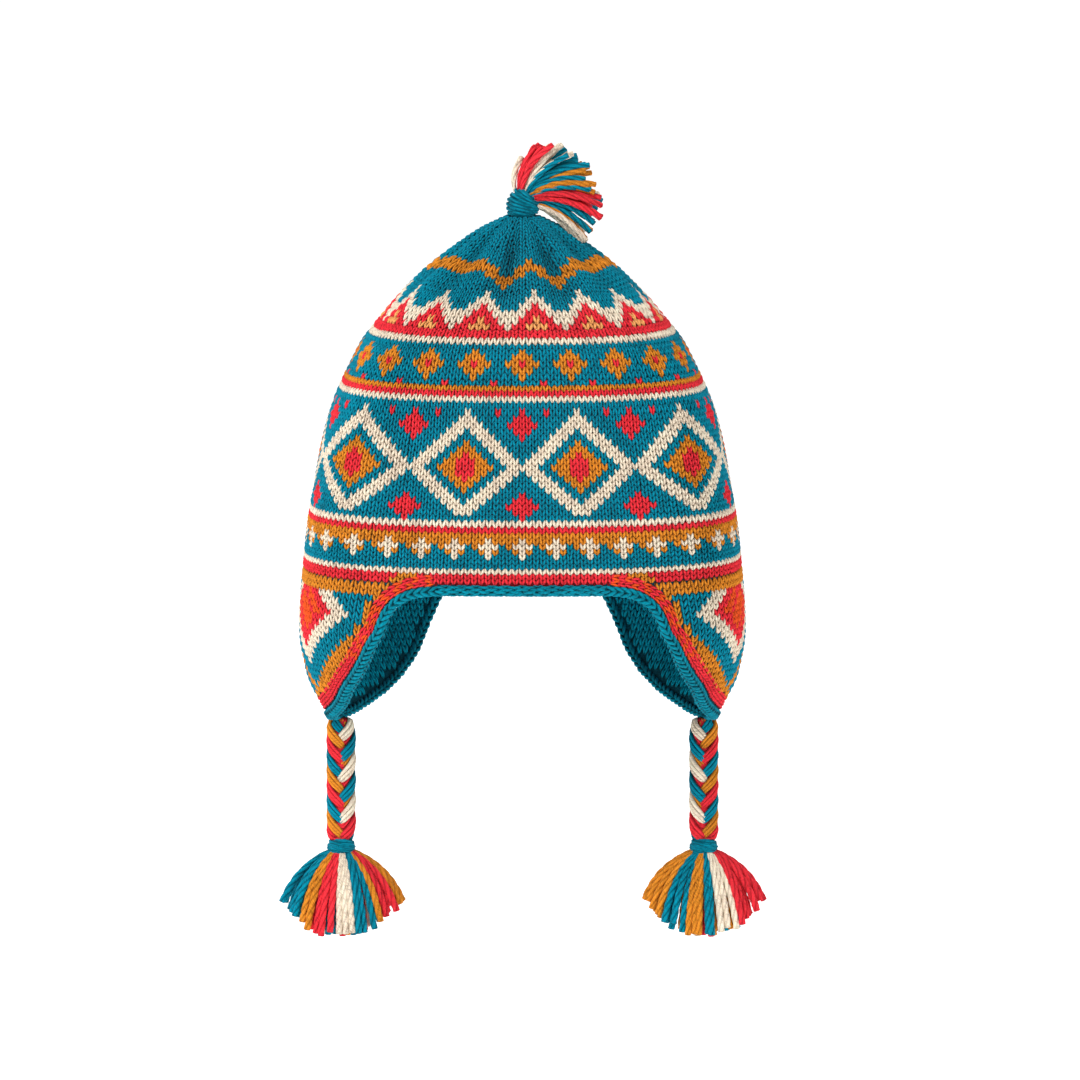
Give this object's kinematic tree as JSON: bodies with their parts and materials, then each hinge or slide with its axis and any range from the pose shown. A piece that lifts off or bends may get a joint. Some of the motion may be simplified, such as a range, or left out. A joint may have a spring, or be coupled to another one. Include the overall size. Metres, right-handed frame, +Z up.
{
  "type": "chullo hat",
  "caption": "Knitted chullo hat with a tall gathered crown in banded colourwork, earflaps, a crocheted border, plaited ties and yarn tassels.",
  "frame": {"origin": "centre of the head opening at the lower edge of the front rim", "axes": "+Z up through the peak, -Y out of the front of the hat, +X towards the earflap on the picture's right"},
  "size_m": [0.2169, 0.176, 0.3653],
  "materials": {
    "knit": "stranded stocking-stitch knit in teal, red, ochre, cream and orange wool",
    "edging": "crocheted teal wool border",
    "binding": "teal wool yarn wound round",
    "plait": "plaited wool yarns in teal, ochre, red and cream",
    "tassel": "cut twisted wool yarns in red, teal, ochre and cream"
  },
  "bodies": {
    "root": {"crown": "knit", "ear_flap_left": "knit", "ear_flap_right": "knit", "edging": "edging", "top_binding": "binding", "tie_binding_left": "binding", "tie_binding_right": "binding", "tie_braid_left": "plait", "tie_braid_right": "plait", "top_tassel": "tassel", "tie_tassel_left": "tassel", "tie_tassel_right": "tassel"}
  },
  "joints": []
}
